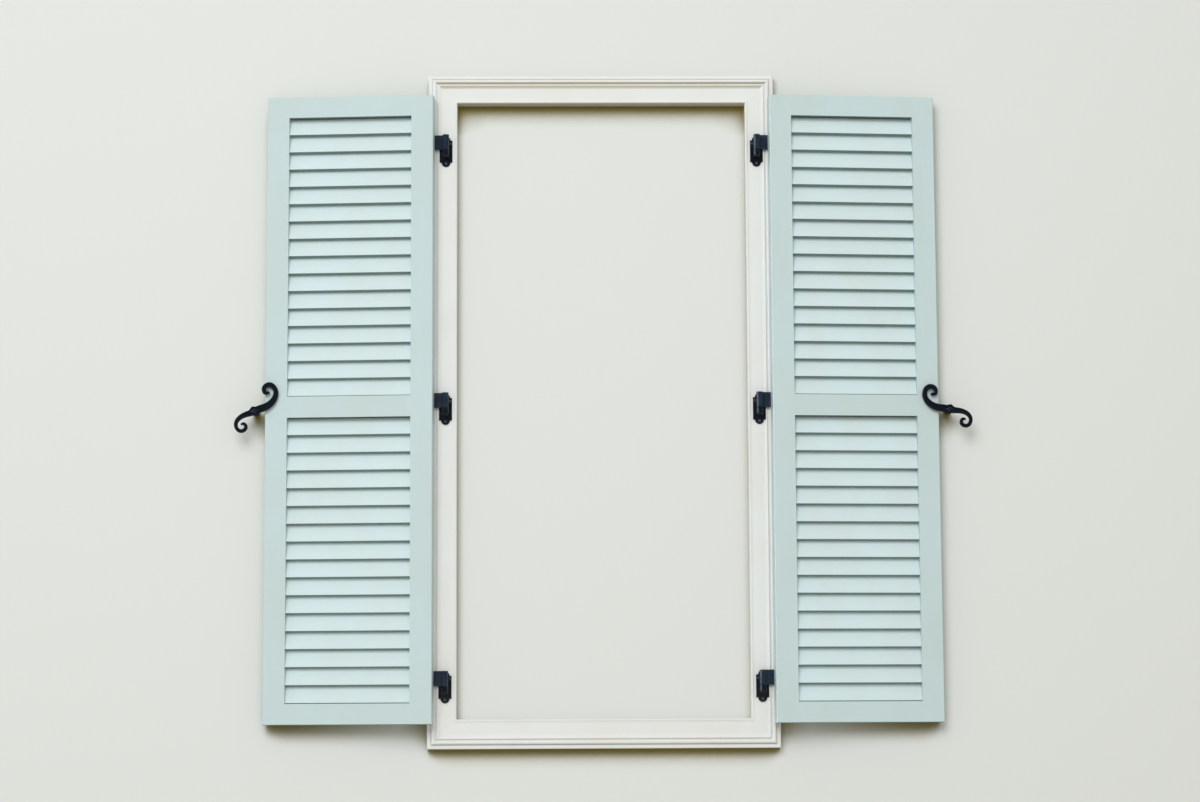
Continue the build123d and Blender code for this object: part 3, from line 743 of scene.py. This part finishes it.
class SHUTTERS_OT_dogs(bpy.types.Operator):
    """Forges the two scrolled dogs with their posts and lozenge caps"""
    bl_idname = "shutters.dogs"
    bl_label = "Shutter dogs"

    def smooth_line(self, stations, steps):
        """A natural cubic through the stations, by chord length: points with half widths."""
        count = len(stations)
        marks = [0.0]
        for a, b in zip(stations, stations[1:]):
            marks.append(marks[-1] + hypot(b[0] - a[0], b[1] - a[1]))
        gaps = [marks[i + 1] - marks[i] for i in range(count - 1)]
        bends = []
        for axis in (0, 1):
            upper, right = [0.0] * count, [0.0] * count
            for i in range(1, count - 1):
                rate = ((stations[i + 1][axis] - stations[i][axis]) / gaps[i]
                        - (stations[i][axis] - stations[i - 1][axis]) / gaps[i - 1])
                pivot = 2 * (gaps[i - 1] + gaps[i]) - gaps[i - 1] * upper[i - 1]
                upper[i] = gaps[i] / pivot
                right[i] = (6 * rate - gaps[i - 1] * right[i - 1]) / pivot
            bend = [0.0] * count
            for i in range(count - 2, 0, -1):
                bend[i] = right[i] - upper[i] * bend[i + 1]
            bends.append(bend)
        line = []
        for step in range(steps + 1):
            mark = marks[-1] * step / steps
            k = max(i for i in range(count - 1) if marks[i] <= mark + 1e-9)
            gap = gaps[k]
            b = (mark - marks[k]) / gap
            a = 1 - b
            where = [a * stations[k][axis] + b * stations[k + 1][axis]
                     + ((a ** 3 - a) * bends[axis][k] + (b ** 3 - b) * bends[axis][k + 1]) * gap * gap / 6
                     for axis in (0, 1)]
            line.append((where[0], where[1], a * stations[k][2] + b * stations[k + 1][2]))
        return line

    def band(self, bm, line, place):
        """A forged bar along a line: a soft-edged section that swells and thins with the half widths."""
        section, middle = 20, DOG_THICKNESS / MM / 2

        def ring(x, y, cross, half, deep):
            """One section across the line, half wide and deep thick to each side of the middle."""
            made = []
            for k in range(section):
                c, s = cos(2 * pi * k / section), sin(2 * pi * k / section)
                a = abs(c) ** 0.62 * (BAND_SWELL if c >= 0 else -1) * half
                d = abs(s) ** 0.55 * (1 if s >= 0 else -1) * deep
                made.append(bm.verts.new(place(x + cross.x * a, y + cross.y * a, middle + d)))
            return made

        rings = []
        for i, (x, y, half) in enumerate(line):
            before, after = line[max(i - 1, 0)], line[min(i + 1, len(line) - 1)]
            run = Vector((after[0] - before[0], after[1] - before[1])).normalized()
            rings.append(ring(x, y, Vector((-run.y, run.x)), half, middle))
        # The tip is a round end
        x, y, half = line[-1]
        run = Vector((line[-1][0] - line[-2][0], line[-1][1] - line[-2][1])).normalized()
        for share in (0.35, 0.65, 0.88, 0.98):
            shrink = sqrt(1 - share * share)
            ahead = run * half * share
            rings.append(ring(x + ahead.x, y + ahead.y, Vector((-run.y, run.x)), half * shrink,
                              middle * (0.4 + 0.6 * shrink)))
        faces = [bm.faces.new(rings[0]), bm.faces.new(list(reversed(rings[-1])))]
        for low, high in zip(rings, rings[1:]):
            for k in range(section):
                j = (k + 1) % section
                faces.append(bm.faces.new((low[k], low[j], high[j], high[k])))
        bmesh.ops.recalc_face_normals(bm, faces=faces)

    def dog_place(self, side, pivot, back, lean=0.0):
        """Turns a dog's own (across, up, depth) in millimetres to a point."""
        turn = lean - (RIGHT_DOG_TURN if side == RIGHT else 0.0)
        across = Vector((-side * cos(turn), 0, sin(turn)))
        upward = Vector((side * sin(turn), 0, cos(turn)))
        return lambda a, b, d: (pivot + across * a * MM + upward * b * MM + FRONT * (back + d * MM))

    def execute(self, context):
        looks, detail = context.scene.shutter_finish, context.scene.shutter_detail
        iron = black_iron("dog_iron", looks.iron, looks.iron_wear, looks.iron_gloss, 0.55)
        bright = black_iron("cap_iron", tuple(c * 2.2 for c in looks.iron), looks.iron_wear,
                            looks.iron_gloss * 0.9, 0.25)
        for side_name, side in SIDES.items():
            low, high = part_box(side_name + "_dog")
            back = -high.y
            low_post, high_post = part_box(side_name + "_dog_post")
            pivot = Vector(((low_post.x + high_post.x) / 2, 0, DOG_Z))
            coat(side_name + "_dog_post", iron)
            place = self.dog_place(side, pivot, back)
            bm = bmesh.new()
            for stations in (UPPER_SCROLL, LOWER_SCROLL):
                self.band(bm, self.smooth_line(stations, 110), place)
            prism(bm, DOG_HUB, place, 0.0, DOG_THICKNESS / MM, 0.0009)
            name = side_name + "_dog"
            piece = make_piece(name + "_forging", bm, iron, name, 180.0, [name])
            self.forge(context, piece, detail.forge_voxel)
            self.make_cap(side_name, side, pivot, back, bright)
        return {"FINISHED"}

    def forge(self, context, piece, voxel):
        """Welds the scrolls and the hub into one skin with soft edges."""
        weld = piece.modifiers.new("weld", "REMESH")
        weld.mode = "VOXEL"
        weld.voxel_size = voxel
        weld.use_smooth_shade = True
        soften = piece.modifiers.new("soften", "SMOOTH")
        soften.factor = 0.5
        soften.iterations = 3
        context.view_layer.update()
        graph = context.evaluated_depsgraph_get()
        made = bpy.data.meshes.new_from_object(piece.evaluated_get(graph), depsgraph=graph)
        piece.modifiers.clear()
        old = piece.data
        piece.data = made
        bpy.data.meshes.remove(old)

    def make_cap(self, side_name, side, pivot, back, material):
        """A lozenge with four slopes up to a small flat top."""
        seat = -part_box(side_name + "_dog_cap")[1].y
        place = self.dog_place(side, pivot, seat, CAP_LEAN)
        bm = bmesh.new()
        rings = []
        for share, height in CAP_STEPS:
            rings.append([bm.verts.new(place(a * share, b * share, height)) for a, b in CAP_CORNERS])
        faces = [bm.faces.new(rings[0]), bm.faces.new(list(reversed(rings[-1])))]
        for below, above in zip(rings, rings[1:]):
            for i in range(len(CAP_CORNERS)):
                j = (i + 1) % len(CAP_CORNERS)
                faces.append(bm.faces.new((below[i], below[j], above[j], above[i])))
        bmesh.ops.recalc_face_normals(bm, faces=faces)
        bmesh.ops.bevel(bm, geom=bm.edges[:], offset=0.0005, segments=3, profile=0.5, affect="EDGES")
        make_piece(side_name + "_dog_lozenge", bm, material, "casing", 30.0,
                   [side_name + "_dog_cap"])


class SHUTTERS_PT_panel(bpy.types.Panel):
    """Lists the pieces and their settings"""
    bl_label = "Louvred shutters"
    bl_idname = "SHUTTERS_PT_panel"
    bl_space_type = "VIEW_3D"
    bl_region_type = "UI"
    bl_category = "Shutters"

    def draw(self, context):
        layout = self.layout
        for operator in OPERATORS:
            layout.operator(operator.bl_idname)
        scene = context.scene
        for group in (scene.shutter_finish, scene.shutter_detail, scene.stage_light):
            box = layout.box()
            for name in group.bl_rna.properties.keys():
                if name not in ("rna_type", "name"):
                    box.prop(group, name)


OPERATORS = (SHUTTERS_OT_stage, SHUTTERS_OT_casing, SHUTTERS_OT_leaves, SHUTTERS_OT_louvres,
             SHUTTERS_OT_pintles, SHUTTERS_OT_straps, SHUTTERS_OT_dogs)
CLASSES = (ShutterFinish, ShutterDetail, StageLight, *OPERATORS, SHUTTERS_PT_panel)


def register():
    for made in CLASSES:
        bpy.utils.register_class(made)
    bpy.types.Scene.shutter_finish = PointerProperty(type=ShutterFinish)
    bpy.types.Scene.shutter_detail = PointerProperty(type=ShutterDetail)
    bpy.types.Scene.stage_light = PointerProperty(type=StageLight)


def unregister():
    for name in ("stage_light", "shutter_detail", "shutter_finish"):
        delattr(bpy.types.Scene, name)
    for made in reversed(CLASSES):
        bpy.utils.unregister_class(made)


def main():
    register()
    bpy.ops.shutters.stage()
    bpy.ops.shutters.casing()
    bpy.ops.shutters.leaves()
    bpy.ops.shutters.louvres()
    bpy.ops.shutters.pintles()
    bpy.ops.shutters.straps()
    bpy.ops.shutters.dogs()
    bpy.context.view_layer.update()


if __name__ == "__main__":
    main()
